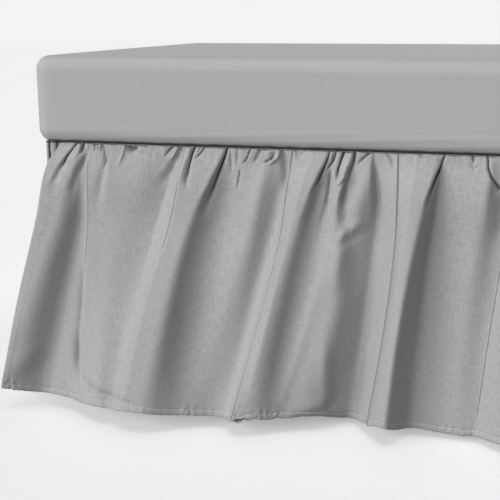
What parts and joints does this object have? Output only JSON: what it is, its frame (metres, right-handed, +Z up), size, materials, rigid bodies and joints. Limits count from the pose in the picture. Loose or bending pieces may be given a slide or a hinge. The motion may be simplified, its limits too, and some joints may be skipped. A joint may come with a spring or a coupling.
{
  "type": "bed skirt on a cot bed with its mattress",
  "caption": "Gathered ruffle bed skirt hanging from under a cot mattress on a plain bed base, with split corners and a narrow stitched hem.",
  "frame": {"origin": "on the floor, under the middle of the whole part's box", "axes": "+Z up; +X along the long sides of the bed, to the right seen from the front; -Y faces the front ruffle, the one with the modelled folds"},
  "size_m": [1.4514, 0.856, 0.4689],
  "materials": {
    "skirt_cotton": "matte plain-weave cotton, mid grey",
    "mattress_sheet": "smooth tight cotton fitted sheet, mid grey",
    "painted_wood": "satin white paint"
  },
  "bodies": {
    "root": {"ruffle_front": "skirt_cotton", "ruffle_back": "skirt_cotton", "ruffle_left": "skirt_cotton", "ruffle_right": "skirt_cotton", "deck": "skirt_cotton", "mattress": "mattress_sheet", "bed_base": "painted_wood", "leg_front_left": "painted_wood", "leg_front_right": "painted_wood", "leg_back_left": "painted_wood", "leg_back_right": "painted_wood"}
  },
  "joints": []
}
